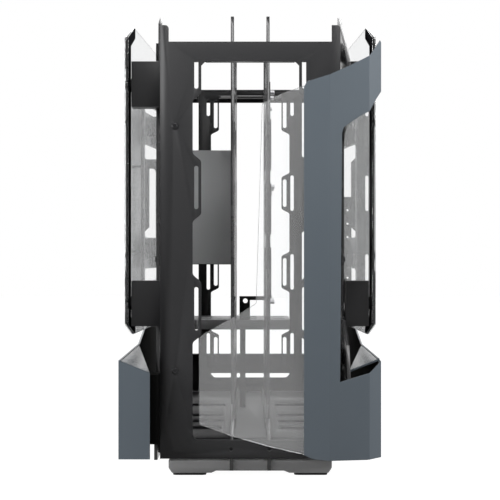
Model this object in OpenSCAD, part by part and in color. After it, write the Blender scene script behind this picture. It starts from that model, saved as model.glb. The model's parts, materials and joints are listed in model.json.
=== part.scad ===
// Open-frame tower computer case: four upright rib plates stand in two foot bars and carry
// the fan plate, the rear bracket, the trays, the folded metal covers and the glass panels.
// Millimetres. X is the width, +Y runs from the front to the back, +Z is up.
// Depths are measured from the face of the front fan plate, and the whole is then centred.

/* [Overall] */
// Outer width over the side covers
case_w = 299; // [290:1:312]
// Depth from the front fan plate back to the rear ends of the side covers
back_depth = 685; // [680:1:720]
// Distance that the folded front cover stands in front of the fan plate
cover_reach = 50; // [46:1:60]

/* [Rib plates] */
// Thickness of each rib plate
rib_t = 4; // [3:0.5:5]
// Middle of each inner rib, to the side of the centre
inner_rib_x = 22.2; // [20:0.2:26]
// Middle of each outer rib, to the side of the centre
outer_rib_x = 111.5; // [110.5:0.1:112.5]
// Height of the horns at the front ends of the ribs
horn_z = 557.5; // [552:0.5:570]
// Height of the horns at the rear ends of the ribs
rear_horn_z = 551; // [545:0.5:565]
// Depth at which the inner ribs begin
inner_rib_front = 128; // [122:1:132]
// Depth of a horn from front to back
horn_len = 26; // [20:1:32]
// Depth at which the inner ribs end and the rear bracket is bolted on
rib_back = 526; // [520:1:532]

/* [Fan plates] */
// Sheet thickness of the fan plates and trays
sheet_t = 3; // [2:0.5:3]
// Pitch of the fans on the front plate
front_pitch = 140; // [138:1:142]
// Pitch of the fans on the rear bracket
rear_pitch = 120; // [118:1:122]
// Height of the topmost fan boundary on the front plate
front_top_boundary = 478.2; // [474:0.2:480]
// Height of the topmost fan boundary on the rear bracket
rear_top_boundary = 472.6; // [470:0.2:476]
// Distance between the two rows of fan screws on the front plate
front_screw_w = 124.5; // [122:0.5:126]
// Distance between the two inner rows of fan screws on the rear bracket
rear_screw_w = 105; // [103:0.5:107]
// Width of a fan screw slot
slot_w = 4.8; // [4.3:0.1:5.2]

/* [Feet] */
// Height of a foot bar with its pads
foot_h = 18; // [16:0.5:22]
// Height of the rubber pads under the foot bars
pad_h = 3; // [2:0.5:5]
// Length of a foot bar
foot_w = 192.8; // [185:0.2:200]

/* [Covers] */
// Sheet thickness of the folded covers
cover_t = 2.5; // [2:0.1:3]
// Lower edge of the covers
cover_z = 28.5; // [26:0.5:34]
// Upper edge of the side covers at the front
side_cover_z = 141; // [137:1:145]

/* [Glass] */
// Thickness of the glass panels
glass_t = 4; // [3:0.5:5]
// Lower edge of the side glass
glass_z = 163; // [161:0.5:166]
// Height of the side glass
glass_h = 375.5; // [370:0.5:380]
// Angle by which the side glass leans inwards towards the back
glass_toe = 2.8; // [2:0.1:3]

/* [Interior] */
// Height of the power supply shelf
shelf_z = 166; // [162:1:170]
// Height of the floor trays
floor_z = 40; // [38:0.5:44]
// Height of the motherboard spacers
spacer_h = 6.5; // [5:0.5:8]

/* [Buttons] */
// Travel of the power and reset buttons
button_travel = 1.5; // [1:0.1:2]
// Diameter of the power button
power_d = 12; // [10:0.5:13]
// Diameter of the reset button
reset_d = 5; // [4:0.5:6]

/* [Hidden] */

$fn = 48;
fit = 0.3;
half_w = case_w / 2;
centre_depth = (back_depth - cover_reach) / 2;

dark = [0.14, 0.14, 0.15];
black = [0.07, 0.07, 0.08];
slate = [0.36, 0.39, 0.44];
grey = [0.38, 0.38, 0.40];
clear = [0.80, 0.85, 0.88, 0.35];
steel = [0.70, 0.71, 0.73];

// faces of the rib plates
inner_rib_in = inner_rib_x - rib_t / 2;
inner_rib_out = inner_rib_x + rib_t / 2;
outer_rib_in = outer_rib_x - rib_t / 2;
outer_rib_out = outer_rib_x + rib_t / 2;
outer_rib_front = inner_rib_front - 12;
horn_back = inner_rib_front + horn_len;
rear_horn_front = rib_back - horn_len;
frame_back = back_depth - 45;
nose_depth = 12 - cover_reach;
rib_window_front = outer_rib_front + 46;
rib_window_back = 484;
rib_post = 332;

// front fan plate, held between the outer ribs by bushes
bush_len = 5.3;
rib_spacer_heights = [70, 255, 440];
plate_half = outer_rib_in - bush_len;
plate_top = horn_z - 50.8;
plate_foot = 25;
opening_top = plate_top - 22.5;
opening_foot = 46.6;
flange_depth = 100;
front_slot_x = front_screw_w / 2;
front_edge_x = front_slot_x + 4.25;
front_bump_x = front_slot_x - 5.75;
bump_len = 82;
bump_flat = 58;
plate_screw_x = plate_half - 17.4;
plate_screw_heights = [126, 409];
screw_r = 2.2;

// rear fan bracket
bracket_half = rear_screw_w / 2 + 26.2;
bracket_foot = 62;
bracket_top = rear_horn_z - 41;
rear_slot_x = rear_screw_w / 2;
rear_edge_x = rear_slot_x + 7.2;
rear_bump_x = rear_slot_x - 4.9;
rear_bump_len = 64;
rear_bump_flat = 46;
bracket_open_top = bracket_top - 9;
bracket_open_foot = bracket_foot + 10;
panel_h = 60.3;

// top cross bar
cross_bar_half = outer_rib_out + 5.5;
cross_bar_z = horn_z - 52.5;
cross_bar_h = 22;
cross_bar_y = 16;

// covers and glass
cover_face = -cover_reach;
cover_in = outer_rib_out + 0.7;
cover_top = plate_top - 1.3;
left_cover_face = -30;
facet_drop = 14;
facet_back = 255;
crease_one = [plate_half - 14.8, cover_face];
crease_two = [half_w - 14.3, cover_face + 17];
cover_edge = [half_w, cover_face + 31];
front_glass_back = cover_face + cover_t + glass_t;
glass_in = half_w - 0.8 - glass_t;
glass_front = 43;
glass_back = 489;
block_len = 28;
front_block_end = glass_in - 3.7;
rear_block_end = glass_in - 21.5;
block_spots = [[46, 436, 54], [46, 175.5, 54], [410, 415.3, 43], [410, 240.3, 43]];
front_spacer_x = plate_half - 27.2;
front_spacer_heights = [92, 200, 308, 416];

// motherboard and its screw pattern, seen from the side
board_t = 2;
board_face = inner_rib_out + board_t;
board_back = rib_back - 16;
board_foot = shelf_z + 20;
board_rows = [6.35, 163.83, 233.68];
board_columns = [10.16, 165.1, 292.1];
cable_window_heights = [206, 290, 374];
board_window_y0 = 376;
board_window_y1 = 486;
board_window_z0 = 366;
board_window_z1 = 456;

// shelf, drive bracket and the panel in front of the power supply
shelf_front = 400;
shelf_lip = 14;
bracket_y = shelf_front + 4;
bracket_x = -15.4;
panel_y = 300;
panel_x = -outer_rib_in + 11.5;
panel_z0 = 247;
panel_z1 = 402;
supply_z0 = 244;
supply_z1 = 404;

// rail for expansion cards
rail_x = outer_rib_in - 17.5;
card_z = shelf_z + 38;
card_pitch = 20.32;

// foot bars and base bars
foot_len = 30;
front_foot_y = 36;
rear_foot_y = frame_back - 50;
base_bar_len = 16;
front_base_y = front_foot_y + 34;
rear_base_y = frame_back - 66;
base_hole_z = (foot_h + 4 + floor_z - sheet_t) / 2;

// port housing behind the right limb of the front fan plate
port_x0 = plate_half - 34.7;
port_x1 = plate_half - sheet_t;
port_y0 = sheet_t;
port_y1 = 94;
port_top = opening_top + 14;
port_h = 20;
power_y = 78;
reset_y = 60;
button_x = (port_x0 + port_x1) / 2;

// Draws its children at their depth behind the front fan plate
module placed() {
    translate([0, -centre_depth, 0]) children();
}

// A plate square to the width: the outline is [depth, height], its left face lies at x
module side_plate(x, t) {
    translate([x, 0, 0]) rotate([90, 0, 90]) linear_extrude(t) children();
}

// A plate square to the depth: the outline is [x, height], its front face lies at depth y
module face_plate(y, t) {
    translate([0, y + t, 0]) rotate([90, 0, 0]) linear_extrude(t) children();
}

// A round bar along the depth
module depth_rod(x, z, y0, y1, r) {
    translate([x, y0, z]) rotate([-90, 0, 0]) cylinder(h = y1 - y0, r = r);
}

// A round bar along the width
module width_rod(y, z, x0, x1, r) {
    translate([x0, y, z]) rotate([0, 90, 0]) cylinder(h = x1 - x0, r = r);
}

module block(x0, x1, y0, y1, z0, z1) {
    translate([x0, y0, z0]) cube([x1 - x0, y1 - y0, z1 - z0]);
}

// Upright slot with round ends, centred on [x, z]
module slot(x, z, length, width) {
    translate([x - width / 2, z - (length - width) / 2]) square([width, length - width]);
    for (end = [-1, 1])
        translate([x, z + end * (length - width) / 2]) circle(d = width);
}

// Rectangle with round corners between two opposite corners
module window(u0, v0, u1, v1, r) {
    translate([u0 + r, v0]) square([u1 - u0 - 2 * r, v1 - v0]);
    translate([u0, v0 + r]) square([u1 - u0, v1 - v0 - 2 * r]);
    for (u = [u0 + r, u1 - r], v = [v0 + r, v1 - r])
        translate([u, v]) circle(r);
}

// Half of a soft step in the edge of a fan opening, from one height and place to another
function step_edge(x0, z0, x1, z1) =
    [for (i = [0 : 6]) [x0 + (x1 - x0) * (1 - cos(30 * i)) / 2, z0 + (z1 - z0) * i / 6]];

// Edge of a fan opening past one bump that carries the screws of two fans
function bump_edge(edge, bump, z, length, flat) = concat(
    step_edge(edge, z - length / 2, bump, z - flat / 2),
    step_edge(bump, z + flat / 2, edge, z + length / 2));

function mirrored(points) = [for (i = [len(points) - 1 : -1 : 0]) [-points[i][0], points[i][1]]];

// Heights of the boundaries between the fans, from the top one down
function boundaries(top, pitch, count) = [for (i = [0 : count - 1]) top - i * pitch];

// Frame

module front_opening() {
    marks = boundaries(front_top_boundary, front_pitch, 4);
    right_edge = concat(
        [[front_edge_x - 6, opening_foot], [front_edge_x - 1.8, opening_foot + 1.8],
         [front_edge_x, opening_foot + 6]],
        bump_edge(front_edge_x, front_bump_x, marks[2], bump_len, bump_flat),
        bump_edge(front_edge_x, front_bump_x, marks[1], bump_len, bump_flat),
        step_edge(front_edge_x, marks[0] - bump_len / 2, front_bump_x, marks[0] - bump_flat / 2),
        [[front_bump_x, opening_top - 5], [front_bump_x - 5, opening_top]]);
    polygon(concat(right_edge, mirrored(right_edge)));
}

module front_slots() {
    marks = boundaries(front_top_boundary, front_pitch, 4);
    for (side = [-1, 1]) {
        translate([side * front_slot_x - slot_w / 2, marks[0] - 23.5])
            square([slot_w, opening_top - marks[0] + 23.5]);
        translate([side * front_slot_x, marks[0] - 23.5]) circle(d = slot_w);
        for (i = [1, 2])
            slot(side * front_slot_x, marks[i], bump_flat - 8, slot_w);
        slot(side * front_slot_x, marks[3] + 22, 36, slot_w);
    }
}

// Tab that stands up at an end of the front fan plate, round on its inner corner
module tab() {
    translate([-5, 0]) square([10, 15]);
    translate([-5, 15]) square([6, 4]);
    translate([1, 15]) circle(r = 4);
}

module front_fan_plate() {
    color(dark) placed() {
        face_plate(0, sheet_t) difference() {
            union() {
                translate([-plate_half, plate_foot])
                    square([2 * plate_half, plate_top - plate_foot]);
                for (side = [-1, 1])
                    translate([side * (plate_half - 5), plate_top]) tab();
            }
            front_opening();
            front_slots();
            for (side = [-1, 1], z = plate_screw_heights)
                translate([side * plate_screw_x, z]) circle(r = screw_r);
            for (side = [-1, 1])
                translate([side * inner_rib_x, (plate_foot + opening_foot) / 2])
                    circle(r = screw_r);
        }
        // folded edges: both sides, the foot and the rim of the window
        for (side = [-1, 1])
            side_plate(side > 0 ? plate_half - sheet_t : -plate_half, sheet_t) difference() {
                translate([sheet_t, floor_z])
                    square([flange_depth - sheet_t, plate_top - floor_z]);
                for (z = rib_spacer_heights)
                    translate([flange_depth - 12, z]) circle(r = screw_r);
                for (z = [150, 290])
                    window(16, z, flange_depth - 26, z + 84, 8);
            }
        block(-plate_half + sheet_t, plate_half - sheet_t, sheet_t, 15,
            plate_top - sheet_t, plate_top);
        block(-front_bump_x + 5, front_bump_x - 5, sheet_t, 15, opening_top, opening_top + 2);
    }
}

// Outline of an inner rib: a toe at each end, a horn at the front and one at the back; the
// front toe hooks over the foot bar
module inner_rib_outline() {
    polygon([
        [front_foot_y, foot_h], [front_foot_y, pad_h + 3], [front_foot_y - 3, pad_h + 3],
        [front_foot_y - 3, foot_h + 20], [64, foot_h + 31], [inner_rib_front - 12, foot_h + 40],
        [inner_rib_front, foot_h + 56],
        [inner_rib_front, horn_z - 12], [inner_rib_front + 6, horn_z], [horn_back - 8, horn_z],
        [horn_back, horn_z - 14], [horn_back, 486], [horn_back + 16, 470],
        [rear_horn_front - 70, 492], [rear_horn_front - 14, 496], [rear_horn_front, 510],
        [rear_horn_front, rear_horn_z - 10], [rear_horn_front + 10, rear_horn_z],
        [rib_back, rear_horn_z], [rib_back, bracket_foot - 1], [rib_back + 14, bracket_foot - 7],
        [frame_back - 46, foot_h + 31], [frame_back - 16, foot_h + 20], [frame_back - 16, foot_h]
    ]);
}

module inner_rib_left() {
    color(dark) placed() side_plate(-inner_rib_out, rib_t) difference() {
        inner_rib_outline();
        window(170, 396, 250, 436, 10);
        window(300, 396, 380, 436, 10);
        for (z = [196, 262, 328])
            window(440, z, 466, z + 40, 8);
        window(170, 60, 360, 132, 14);
        rib_holes();
    }
}

module inner_rib_right() {
    color(dark) placed() side_plate(inner_rib_in, rib_t) difference() {
        inner_rib_outline();
        window(board_window_y0, board_window_z0, board_window_y1, board_window_z1, 12);
        cable_windows();
        window(170, 60, 360, 132, 14);
        rib_holes();
    }
}

// Cut-outs in front of the motherboard, through its tray and the rib behind it
module cable_windows() {
    for (z = cable_window_heights)
        window(board_back - 292, z, board_back - 264, z + 60, 8);
}

// Screw holes at the lower edge of every rib, into the base bars
module rib_holes() {
    for (y = [front_base_y, rear_base_y])
        translate([y + base_bar_len / 2, base_hole_z]) circle(r = screw_r);
}

// Windows that turn an outer rib into a frame; two bars behind its post carry rear blocks
module outer_rib_windows() {
    window(rib_window_front, 150, rib_post, 471, 6);
    window(rib_post + 10, 170, rib_window_back, 240, 6);
    window(rib_post + 10, 283.6, rib_window_back, 415, 6);
    window(rib_post + 10, 458.6, rib_window_back, 471, 4);
    window(540, 150, frame_back - 36, 455, 12);
    window(rib_window_front, 62, 330, 118, 12);
    rib_holes();
}

function outer_rib_back_edge() = [
    [horn_back, horn_z - 14], [horn_back, 500], [horn_back + 16, 484],
    [rear_horn_front - 14, 484], [rear_horn_front, 496],
    [rear_horn_front, rear_horn_z - 10], [rear_horn_front + 10, rear_horn_z],
    [rib_back - 8, rear_horn_z], [rib_back, rear_horn_z - 12], [rib_back, bracket_top - 4],
    [frame_back, bracket_top - 4], [frame_back, foot_h + 22], [frame_back - 16, foot_h]
];

module outer_rib_left() {
    color(dark) placed() side_plate(-outer_rib_out, rib_t) difference() {
        polygon(concat([
            [38, foot_h], [38, foot_h + 20], [64, foot_h + 31], [flange_depth - 24, foot_h + 40],
            [flange_depth - 24, 470], [outer_rib_front, 482], [outer_rib_front, horn_z - 12],
            [horn_back - 9, horn_z]
        ], outer_rib_back_edge()));
        outer_rib_windows();
        for (z = rib_spacer_heights)
            translate([flange_depth - 12, z]) circle(r = screw_r);
    }
}

module outer_rib_right() {
    color(dark) placed() side_plate(outer_rib_in, rib_t) difference() {
        polygon(concat([
            [38, foot_h], [nose_depth + 24, foot_h + 22], [nose_depth, foot_h + 44],
            [nose_depth, 118], [nose_depth + 21, 157], [74, 194], [77, 198], [77, 390],
            [72, 399], [62, 405], [18, 411], [nose_depth, 415],
            [nose_depth, horn_z - 79], [horn_back - 9, horn_z]
        ], outer_rib_back_edge()));
        outer_rib_windows();
        window(nose_depth + 22, 64, flange_depth - 30, 130, 12);
        for (z = rib_spacer_heights)
            translate([flange_depth - 12, z]) circle(r = screw_r);
    }
}

// Bushes between the folded edges of the fan plate and the outer ribs
module rib_spacers() {
    color(steel) placed()
        for (side = [-1, 1], z = rib_spacer_heights)
            difference() {
                width_rod(flange_depth - 12, z, side > 0 ? plate_half : -outer_rib_in,
                    side > 0 ? outer_rib_in : -plate_half, 6);
                width_rod(flange_depth - 12, z, side > 0 ? plate_half : -outer_rib_in,
                    side > 0 ? outer_rib_in : -plate_half, screw_r);
            }
}

module rear_opening() {
    marks = boundaries(rear_top_boundary, rear_pitch, 4);
    right_edge = concat(
        [[rear_edge_x - 5, bracket_open_foot], [rear_edge_x, bracket_open_foot + 5]],
        [for (i = [3 : -1 : 1]) each
            bump_edge(rear_edge_x, rear_bump_x, marks[i], rear_bump_len, rear_bump_flat)],
        step_edge(rear_edge_x, marks[0] - rear_bump_len / 2,
            rear_bump_x, marks[0] - rear_bump_flat / 2),
        [[rear_bump_x, bracket_open_top]]);
    polygon(concat(right_edge, mirrored(right_edge)));
}

// Right edge of the rear bracket, with a tab that stands out at its middle
function bracket_edge() = [
    [bracket_half, bracket_foot], [bracket_half, 292], [bracket_half + 9.3, 301],
    [bracket_half + 9.3, 400], [bracket_half, 409], [bracket_half, bracket_top - sheet_t]];

module rear_fan_bracket() {
    marks = boundaries(rear_top_boundary, rear_pitch, 4);
    color(dark) placed() {
        face_plate(rib_back, sheet_t) difference() {
            polygon(concat(bracket_edge(), mirrored(bracket_edge())));
            rear_opening();
            for (side = [-1, 1], i = [0 : 3]) {
                slot(side * rear_slot_x, marks[i], rear_bump_flat - 4, 5.6);
                slot(side * (front_slot_x + 1.5), i > 0 ? marks[i] : marks[0] + 10,
                    i > 0 ? 54 : 25, 5.2);
            }
        }
        // folded edges that stiffen both uprights
        for (side = [-1, 1])
            block(side > 0 ? bracket_half - 2 : -bracket_half,
                side > 0 ? bracket_half : -bracket_half + 2,
                rib_back + sheet_t, rib_back + 14, bracket_foot, bracket_top - 22);
    }
}

module rear_top_shelf() {
    color(black) placed() {
        difference() {
            block(-outer_rib_in, outer_rib_in, rib_back, frame_back, bracket_top - sheet_t,
                bracket_top);
            for (x = [-70, 0, 70])
                translate([x - 24, rib_back + 34, bracket_top - sheet_t - 1])
                    linear_extrude(sheet_t + 2) window(0, 0, 48, 54, 8);
        }
        block(-outer_rib_in, outer_rib_in, frame_back - sheet_t, frame_back,
            bracket_top - 8.4, bracket_top - sheet_t);
        // gussets down to the bracket
        for (side = [-1, 1])
            side_plate(side > 0 ? bracket_half + fit : -bracket_half - fit - 2, 2) polygon([
                [rib_back, bracket_top - sheet_t], [rib_back, bracket_top - 20],
                [rib_back + 22, bracket_top - sheet_t]]);
    }
}

module rear_lower_panel() {
    color(dark) placed() {
        face_plate(frame_back - sheet_t, sheet_t) difference() {
            translate([-outer_rib_in, floor_z]) square([2 * outer_rib_in, panel_h]);
            window(-82, floor_z + 18.5, 82, floor_z + 29, 3);
            for (x = [-95, 95])
                translate([x, floor_z + 46]) circle(r = screw_r);
        }
        block(-outer_rib_in, outer_rib_in, frame_back - 14, frame_back - sheet_t,
            floor_z + panel_h - 2, floor_z + panel_h);
    }
}

// Bar across the top, seated against the backs of the front horns
module top_cross_bar() {
    color(black) placed() difference() {
        block(-cross_bar_half, cross_bar_half, horn_back, horn_back + cross_bar_y,
            cross_bar_z, cross_bar_z + cross_bar_h);
        block(-cross_bar_half - 1, cross_bar_half + 1, horn_back + 2, horn_back + cross_bar_y - 2,
            cross_bar_z + 2, cross_bar_z + cross_bar_h - 2);
    }
}

module base_bar(y) {
    for (span = [[-outer_rib_in, -inner_rib_out], [-inner_rib_in, inner_rib_in],
                 [inner_rib_out, outer_rib_in]])
        difference() {
            block(span[0], span[1], y, y + base_bar_len, foot_h + 4, floor_z - sheet_t);
            block(span[0] + 2, span[1] - 2, y + 2, y + base_bar_len - 2, foot_h + 3,
                floor_z - sheet_t - 2);
            width_rod(y + base_bar_len / 2, base_hole_z, span[0] - 1, span[1] + 1, screw_r);
        }
}

module base_bar_front() {
    color(black) placed() base_bar(front_base_y);
}

module base_bar_rear() {
    color(black) placed() base_bar(rear_base_y);
}

// Floor tray between two ribs, folded up along both of them
module floor_tray(x0, x1, vents) {
    y0 = 70;
    y1 = frame_back - sheet_t;
    difference() {
        block(x0, x1, y0, y1, floor_z - sheet_t, floor_z);
        for (y = vents)
            translate([(x0 + x1) / 2, y, floor_z - sheet_t - 1]) linear_extrude(sheet_t + 2)
                window((x0 - x1) / 2 + 12, 0, (x1 - x0) / 2 - 12, 34, 6);
    }
    for (x = [x0, x1 - 2])
        block(x, x + 2, y0 + 90, y1 - 60, floor_z, floor_z + 12);
}

module floor_tray_left() {
    color(dark) placed() floor_tray(-outer_rib_in, -inner_rib_out, [150, 220, 290, 420]);
}

module floor_tray_middle() {
    color(dark) placed() floor_tray(-inner_rib_in, inner_rib_in, []);
}

module floor_tray_right() {
    color(dark) placed() floor_tray(inner_rib_out, outer_rib_in, [150, 220, 290, 420]);
}

// Foot bar with chamfered lower ends, bent up in the middle
module foot_bar(y0, y1) {
    half = foot_w / 2;
    color(black) placed() face_plate(y0, y1 - y0) polygon([
        [-half, foot_h], [-half, pad_h + 6], [-half + 4, pad_h], [-46, pad_h], [-40, pad_h + 2.5],
        [40, pad_h + 2.5], [46, pad_h], [half - 4, pad_h], [half, pad_h + 6], [half, foot_h]]);
}

module front_foot_bar() {
    foot_bar(front_foot_y, front_foot_y + foot_len);
}

module rear_foot_bar() {
    foot_bar(rear_foot_y, rear_foot_y + foot_len);
}

module foot_pads(y0, y1) {
    half = foot_w / 2;
    color(black) placed()
        for (side = [-1, 1]) {
            x0 = side > 0 ? 52 : -half + 5;
            translate([x0, y0 + 3, 0]) linear_extrude(pad_h)
                window(0, 0, half - 57, y1 - y0 - 6, 5);
        }
}

module front_foot_pads() {
    foot_pads(front_foot_y, front_foot_y + foot_len);
}

module rear_foot_pads() {
    foot_pads(rear_foot_y, rear_foot_y + foot_len);
}

// Interior

// Shelf between two ribs, with a folded front edge
module supply_shelf(x0, x1, y1) {
    difference() {
        block(x0, x1, shelf_front, y1, shelf_z - sheet_t, shelf_z);
        for (y = [shelf_front + 30, shelf_front + 80])
            translate([(x0 + x1) / 2, y, shelf_z - sheet_t - 1]) linear_extrude(sheet_t + 2)
                window(-10, 0, 10, 26, 5);
    }
    block(x0, x1, shelf_front, shelf_front + sheet_t, shelf_z - shelf_lip, shelf_z - sheet_t);
}

module supply_shelf_left() {
    color(grey) placed() supply_shelf(-outer_rib_in, -inner_rib_out, rib_back);
}

module supply_shelf_middle() {
    color(grey) placed() supply_shelf(-inner_rib_in, inner_rib_in, rib_back);
}

module supply_shelf_right() {
    color(grey) placed() supply_shelf(inner_rib_out, 57, rib_back);
}

// Upright drive bracket on the shelf, folded over the ribs at the top
module drive_bracket() {
    color(black) placed() {
        face_plate(bracket_y, 2) difference() {
            translate([bracket_x, shelf_z]) square([15.1, 33.7]);
            translate([bracket_x + 8.4, shelf_z + 27]) circle(r = 3.4);
        }
        block(bracket_x, bracket_x + 15.1, bracket_y + 2, bracket_y + 32, shelf_z, shelf_z + 2);
        block(bracket_x + 15.1, inner_rib_in, bracket_y, bracket_y + 2, shelf_z + 28,
            shelf_z + 33.7);
    }
}

module bracket_post() {
    color(black) placed() difference() {
        block(bracket_x + 0.7, bracket_x + 8.6, bracket_y, bracket_y + 8, floor_z,
            shelf_z - sheet_t);
        block(bracket_x + 2.7, bracket_x + 6.6, bracket_y + 2, bracket_y + 9, floor_z - 1,
            shelf_z);
    }
}

// Grey panel that hides the power supply and the cables from the front and the side
module cable_cover() {
    color(grey) placed() {
        face_plate(panel_y, 2) window(panel_x, panel_z0, -inner_rib_out - fit, panel_z1, 2);
        block(panel_x, panel_x + 2, panel_y + 2, shelf_front - 4, panel_z0 - 32, panel_z1 + 78);
        block(panel_x + 4, -inner_rib_out - 2, panel_y + 2, panel_y + 22, panel_z1 - 2,
            panel_z1);
    }
}

module cable_cover_brackets() {
    color(dark) placed()
        for (z = [panel_z0 + 15, panel_z1 - 22]) {
            block(-outer_rib_in, panel_x, rib_post - 6, rib_post + 14, z, z + 3);
            block(-inner_rib_out - 14, -inner_rib_out, panel_y + 2, panel_y + 18, z - 6, z - 4);
            block(-inner_rib_out - 2, -inner_rib_out, panel_y + 2, panel_y + 18, z - 4, z + 12);
        }
}

module motherboard_tray() {
    color(dark) placed() side_plate(inner_rib_out, board_t) difference() {
        window(board_back - 300, board_foot - 12, board_back + 10, board_foot + 300, 8);
        window(board_window_y0, board_window_z0, board_window_y1, board_window_z1, 12);
        cable_windows();
        for (row = board_rows, column = board_columns)
            translate([board_back - row, board_foot + column]) circle(r = 2);
    }
}

module motherboard_spacers() {
    color(steel) placed()
        for (row = board_rows, column = board_columns)
            difference() {
                width_rod(board_back - row, board_foot + column, board_face,
                    board_face + spacer_h, 3.2);
                width_rod(board_back - row, board_foot + column, board_face,
                    board_face + spacer_h, 1.5);
            }
}

// Rail on the right outer rib that the ends of expansion cards are screwed to
module card_rail() {
    color(dark) placed() {
        face_plate(rib_back - 26, 2) difference() {
            translate([rail_x, card_z - 18]) square([outer_rib_in - rail_x - 2, 160]);
            for (i = [0 : 6])
                translate([rail_x + 6, card_z + i * card_pitch]) circle(r = 1.6);
        }
        block(outer_rib_in - 2, outer_rib_in, rib_back - 70, rib_back - 24, 462, 478);
        block(outer_rib_in - 2, outer_rib_in, rib_back - 38, rib_back - 24, 120, 462);
    }
}

// Open frame that a power supply is screwed to, upright in the left chamber
module supply_bracket() {
    color(dark) placed() face_plate(rib_back - 2, 2) difference() {
        translate([-outer_rib_in, supply_z0])
            square([outer_rib_in - inner_rib_out, supply_z1 - supply_z0]);
        window(-outer_rib_in + 11, supply_z0 + 14, -inner_rib_out - 11, supply_z1 - 14, 6);
        for (z = [supply_z0 + 11, supply_z1 - 11])
            translate([-outer_rib_in + 6, z]) circle(r = 2);
        for (z = [supply_z0 + 21, supply_z1 - 25])
            translate([-outer_rib_in + 80, z]) circle(r = 2);
    }
}

// Glass

// Puts children, drawn from x = 0 outwards, on the inner face of the right side glass
module toed() {
    translate([glass_in, glass_front, 0]) rotate([0, 0, glass_toe])
        translate([0, -glass_front, 0]) children();
}

// Outline of a side glass: the front top corner leans back, and so does the rear lower one
module side_glass_outline() {
    polygon([
        [glass_front, glass_z + 14], [glass_front, glass_z + glass_h - 20.5],
        [glass_front + 59, glass_z + glass_h], [glass_back - 96, glass_z + glass_h],
        [glass_back, glass_z + glass_h - 26], [glass_back, glass_z + 79],
        [glass_back - 149, glass_z], [glass_front + 56, glass_z]]);
}

module side_glass() {
    toed() side_plate(0, glass_t) difference() {
        side_glass_outline();
        for (spot = block_spots)
            translate([spot[0] + block_len / 2, spot[1] + spot[2] / 2]) circle(r = 4.5);
    }
}

module glass_left() {
    color(clear) placed() mirror([1, 0, 0]) side_glass();
}

module glass_right() {
    color(clear) placed() side_glass();
}

// Blocks that hold a side glass off the frame: the two in front start at front_seat
module glass_blocks(front_seat) {
    for (i = [0 : 3]) {
        spot = block_spots[i];
        seat = i < 2 ? front_seat : outer_rib_out;
        end = i < 2 ? front_block_end : rear_block_end;
        y = spot[0] + block_len / 2;
        z = spot[1] + spot[2] / 2;
        difference() {
            union() {
                block(seat, end, spot[0], spot[0] + block_len, spot[1], spot[1] + spot[2]);
                toed() width_rod(y, z, -4, 0, 8);
            }
            toed() width_rod(y, z, -20, 1, 2.5);
        }
    }
}

module glass_blocks_right() {
    color(black) placed() glass_blocks(outer_rib_out);
}

module glass_blocks_left() {
    color(black) placed() mirror([1, 0, 0]) glass_blocks(plate_half);
}

// Cap screws that clamp a side glass to its blocks
module glass_caps() {
    for (spot = block_spots) {
        y = spot[0] + block_len / 2;
        z = spot[1] + spot[2] / 2;
        toed() width_rod(y, z, -10, glass_t, 2.4);
        toed() width_rod(y, z, glass_t, glass_t + 1.2, 8);
    }
}

module glass_caps_right() {
    color(black) placed() glass_caps();
}

module glass_caps_left() {
    color(black) placed() mirror([1, 0, 0]) glass_caps();
}

module front_glass() {
    color(clear) placed() face_plate(front_glass_back - glass_t, glass_t) polygon([
        [86, 40], [86, 452], [60, 450.3], [33.9, 440.6], [17.8, 432.3], [13.3, 430.6],
        [6.5, 206.4], [-0.6, 201.5], [-13.4, 193.2], [-52, 171.8], [-55.2, 169.2], [-57, 166],
        [-57.5, 162.5], [-57.2, 73], [-56.4, 70.8], [-54.6, 69.2], [-21.1, 57.5], [21.8, 45.4],
        [60, 36.6]]);
}

module front_glass_spacers() {
    color(black) placed()
        for (z = front_spacer_heights)
            depth_rod(front_spacer_x, z, front_glass_back, 0, 7);
}

// Covers

// Plan of the folded front cover: a strip, a leaning face, a facet and the side
function cover_plan() = [
    [60.2, cover_face], crease_one, crease_two, cover_edge, [half_w, 0],
    [half_w - cover_t, 0], [half_w - cover_t, cover_edge[1] + 1],
    [crease_two[0] - 1, crease_two[1] + cover_t - 0.1],
    [crease_one[0] - 0.4, cover_face + cover_t], [60.2, cover_face + cover_t]];

// Front view of the same cover: a leg, a wing at its top and a block at its foot
module cover_view() {
    polygon([
        [60.2, 36.4], [60.2, cover_top - 56.6], [63.6, cover_top - 50.6],
        [crease_one[0], cover_top - 42.6], [plate_half + 7.8, cover_top - 31.7],
        [crease_two[0], cover_top - 19.2], [half_w - 1.5, cover_top], [half_w, cover_top - 2.4],
        [half_w, cover_top - 58.4], [half_w - 7.7, cover_top - 70.1],
        [crease_two[0], cover_top - 82.1], [half_w - 25.5, cover_top - 88.1],
        [plate_half + 1.1, cover_top - 101.3], [plate_half - 1, cover_top - 106.9],
        [plate_half - 3.3, side_cover_z - 23.3], [crease_two[0], side_cover_z - 14.2],
        [half_w, side_cover_z - 1.7], [half_w, cover_z + 1], [half_w - 17.5, cover_z],
        [crease_one[0] - 1.4, cover_z + 1.2], [70.3, cover_z + 3.1]]);
}

module front_cover() {
    color(slate) placed() intersection() {
        linear_extrude(horn_z) polygon(cover_plan());
        face_plate(cover_face - 1, cover_reach + 4) cover_view();
    }
}

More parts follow.
